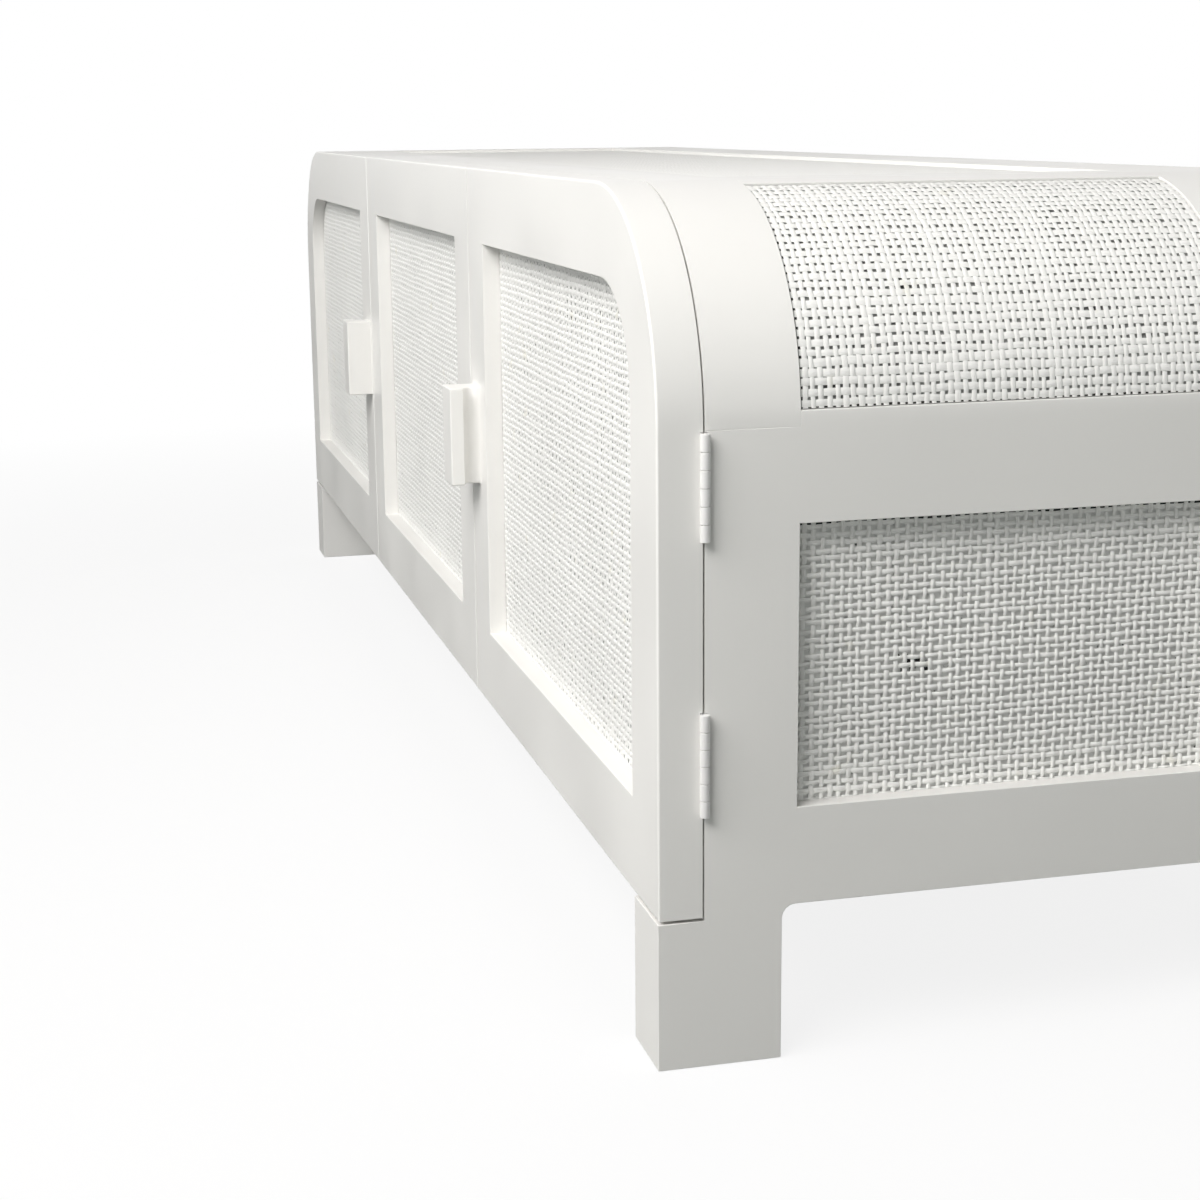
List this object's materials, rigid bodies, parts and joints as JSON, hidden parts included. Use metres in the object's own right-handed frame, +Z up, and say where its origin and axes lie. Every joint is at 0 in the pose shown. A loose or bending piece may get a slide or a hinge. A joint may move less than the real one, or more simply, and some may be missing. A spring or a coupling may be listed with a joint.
{
  "type": "media cabinet",
  "caption": "Low white media cabinet with rounded top ends, woven cane panels in framed doors, ends and top, block handles and short square legs.",
  "frame": {"origin": "middle of the footprint on the floor, handles and hinge barrels included", "axes": "+X towards the right-hand end seen from the front, +Y from the doors to the back, +Z up; the doors face -Y"},
  "size_m": [1.6116, 0.4536, 0.5],
  "materials": {
    "paint": "satin white paint over solid wood",
    "cane": "painted plain-weave cane, matt to satin",
    "board": "white painted board",
    "hinge_paint": "butt hinges painted over with the case",
    "steel": "nickel-plated pressed steel"
  },
  "bodies": {
    "case": {"back_panel": "board", "back_rail": "paint", "back_top_rail": "paint", "floor": "board", "front_top_rail": "paint", "left_back_curved_strip": "paint", "left_back_post": "paint", "left_bottom_end_rail": "paint", "left_crossbar": "paint", "left_curved_cane": "cane", "left_end_cane": "cane", "left_front_curved_strip": "paint", "left_front_post": "paint", "left_lower_frame_leaf": "hinge_paint", "left_middle_end_rail": "paint", "left_shelf": "board", "left_upper_frame_leaf": "hinge_paint", "lower_hinge_arm": "steel", "partition": "board", "right_back_curved_strip": "paint", "right_back_post": "paint", "right_bottom_end_rail": "paint", "right_crossbar": "paint", "right_curved_cane": "cane", "right_end_cane": "cane", "right_front_curved_strip": "paint", "right_front_post": "paint", "right_lower_frame_leaf": "hinge_paint", "right_middle_end_rail": "paint", "right_shelf": "board", "right_upper_frame_leaf": "hinge_paint", "top_board": "board", "top_cane": "cane", "upper_hinge_arm": "steel"},
    "right_door": {"right_door_hinge_stile": "paint", "right_door_corner": "paint", "right_door_latch_stile": "paint", "right_door_top_rail": "paint", "right_door_bottom_rail": "paint", "right_door_cane": "cane", "right_door_handle": "paint", "right_lower_door_leaf": "hinge_paint", "right_upper_door_leaf": "hinge_paint"},
    "middle_door": {"middle_door_bottom_rail": "paint", "middle_door_cane": "cane", "middle_door_handle": "paint", "middle_door_hinge_stile": "paint", "middle_door_latch_stile": "paint", "middle_door_top_rail": "paint", "lower_hinge_cup": "steel", "upper_hinge_cup": "steel"},
    "left_door": {"left_door_hinge_stile": "paint", "left_door_corner": "paint", "left_door_latch_stile": "paint", "left_door_top_rail": "paint", "left_door_bottom_rail": "paint", "left_door_cane": "cane", "left_door_handle": "paint", "left_lower_door_leaf": "hinge_paint", "left_upper_door_leaf": "hinge_paint"}
  },
  "joints": [
    {"name": "right_door_hinge", "type": "hinge", "parent": "case", "child": "right_door", "pos_m": [0.803, -0.1765, 0.297], "axis": [0, 0, 1], "range_deg": [0, 185]},
    {"name": "middle_door_hinge", "type": "hinge", "parent": "case", "child": "middle_door", "pos_m": [0.259, -0.20325, 0.297], "axis": [0, 0, 1], "range_deg": [0, 95]},
    {"name": "left_door_hinge", "type": "hinge", "parent": "case", "child": "left_door", "pos_m": [-0.803, -0.1765, 0.297], "axis": [0, 0, -1], "range_deg": [0, 185]}
  ]
}
